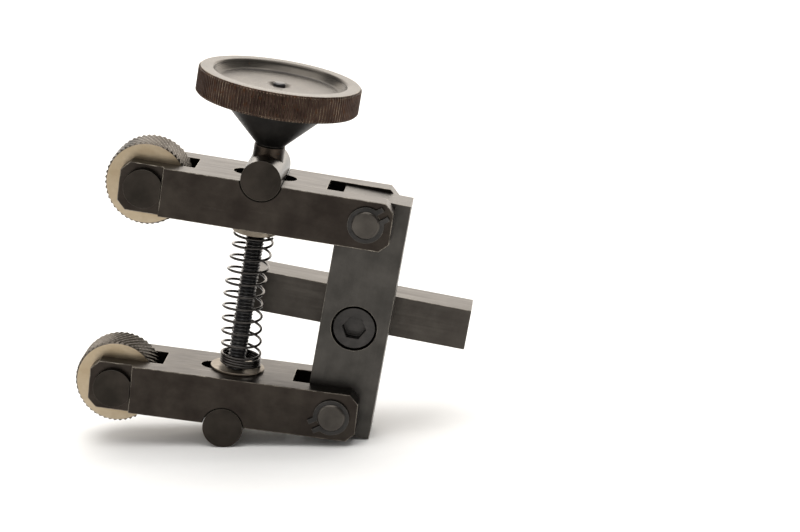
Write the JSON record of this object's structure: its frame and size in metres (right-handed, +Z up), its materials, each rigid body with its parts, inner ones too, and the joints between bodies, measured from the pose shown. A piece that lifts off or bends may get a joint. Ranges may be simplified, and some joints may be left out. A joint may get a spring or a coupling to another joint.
{
  "type": "clamp-type knurling tool",
  "caption": "Clamp-type hand-screw knurling tool: square shank and post, pivoted fork arms with diagonal knurl wheels, and a dished hand knob on a sprung clamp screw.",
  "frame": {"origin": "middle of the shank's bottom face, straight behind the post's centre line", "axes": "+X along the shank away from the wheels, +Y to the back of the tool, where the shank is, +Z up the post towards the hand knob's side"},
  "size_m": [0.0863, 0.0389, 0.086],
  "materials": {
    "blackened_steel": "ground steel, lightly blackened and oiled",
    "dark_turned_steel": "turned steel with dark end faces",
    "black_oxide_hardware": "black oxide, oiled",
    "knurl_tool_steel": "hardened tool steel, darker in the teeth",
    "knob_steel": "turned steel with a light rusty bloom on the knurled rim",
    "plated_steel": "zinc plate",
    "spring_wire": "bare spring wire"
  },
  "bodies": {
    "base": {"post": "blackened_steel", "shank": "blackened_steel", "shank_bolt": "black_oxide_hardware", "upper_pivot_pin": "dark_turned_steel", "lower_pivot_pin": "dark_turned_steel", "upper_pin_front_clip": "black_oxide_hardware", "upper_pin_back_clip": "black_oxide_hardware", "lower_pin_front_clip": "black_oxide_hardware", "lower_pin_back_clip": "black_oxide_hardware"},
    "upper_arm_group": {"upper_arm": "blackened_steel", "upper_axle": "dark_turned_steel", "upper_axle_clip": "black_oxide_hardware"},
    "lower_arm_group": {"lower_arm": "blackened_steel", "lower_axle": "dark_turned_steel", "lower_axle_clip": "black_oxide_hardware"},
    "upper_wheel_group": {"upper_knurl_wheel": "knurl_tool_steel"},
    "lower_wheel_group": {"lower_knurl_wheel": "knurl_tool_steel"},
    "upper_trunnion_group": {"upper_trunnion": "dark_turned_steel", "compression_spring": "spring_wire"},
    "lower_trunnion_group": {"lower_trunnion": "dark_turned_steel"},
    "screw_group": {"clamp_screw": "black_oxide_hardware", "thrust_collar": "knob_steel", "hand_knob": "knob_steel"},
    "upper_washer_group": {"upper_washer": "plated_steel"},
    "lower_washer_group": {"lower_washer": "plated_steel"}
  },
  "joints": [
    {"name": "knob_turn", "type": "hinge", "parent": "upper_trunnion_group", "child": "screw_group", "pos_m": [-0.02583, -0.01577, 0.03573], "axis": [0.0101, 0, -0.9999], "range_deg": [0, 6312.5], "deforming": ["compression_spring"]},
    {"name": "upper_arm_pivot", "type": "hinge", "parent": "base", "child": "upper_arm_group", "pos_m": [-0.00131, -0.01577, 0.03041], "axis": [0, -1, 0], "range_deg": [0, 16.4]},
    {"name": "lower_arm_pivot", "type": "hinge", "parent": "base", "child": "lower_arm_group", "pos_m": [-0.00131, -0.01577, -0.01524], "axis": [0, 1, 0], "range_deg": [0, 16.4]},
    {"name": "upper_trunnion_pivot", "type": "hinge", "parent": "upper_arm_group", "child": "upper_trunnion_group", "pos_m": [-0.02583, -0.01577, 0.03573], "axis": [0, 1, 0], "range_deg": [0, 17.05]},
    {"name": "lower_trunnion_pivot", "type": "hinge", "parent": "lower_arm_group", "child": "lower_trunnion_group", "pos_m": [-0.02523, -0.01577, -0.02278], "axis": [0, -1, 0], "range_deg": [0, 15.75]},
    {"name": "upper_wheel_spin", "type": "hinge", "parent": "upper_arm_group", "child": "upper_wheel_group", "pos_m": [-0.05138, -0.01577, 0.02895], "axis": [0, 1, 0], "continuous": true},
    {"name": "lower_wheel_spin", "type": "hinge", "parent": "lower_arm_group", "child": "lower_wheel_group", "pos_m": [-0.0513, -0.01577, -0.01838], "axis": [0, 1, 0], "continuous": true},
    {"name": "upper_washer_slide", "type": "slide", "parent": "upper_arm_group", "child": "upper_washer_group", "axis": [-0.9996, 0, -0.0291], "range_m": [0, 0.00404]},
    {"name": "lower_washer_slide", "type": "slide", "parent": "lower_arm_group", "child": "lower_washer_group", "axis": [-0.998, 0, -0.0628], "range_m": [0, 0.00341]}
  ],
  "couplings": [
    {"joint": "upper_arm_pivot", "follows": "knob_turn", "ratio": 0.0025663},
    {"joint": "lower_arm_pivot", "follows": "knob_turn", "ratio": 0.0025663},
    {"joint": "upper_trunnion_pivot", "follows": "knob_turn", "ratio": 0.0026691},
    {"joint": "lower_trunnion_pivot", "follows": "knob_turn", "ratio": 0.0024636},
    {"joint": "upper_washer_slide", "follows": "knob_turn", "m_per_rad": 0.000035747},
    {"joint": "lower_washer_slide", "follows": "knob_turn", "m_per_rad": 0.000030018}
  ]
}
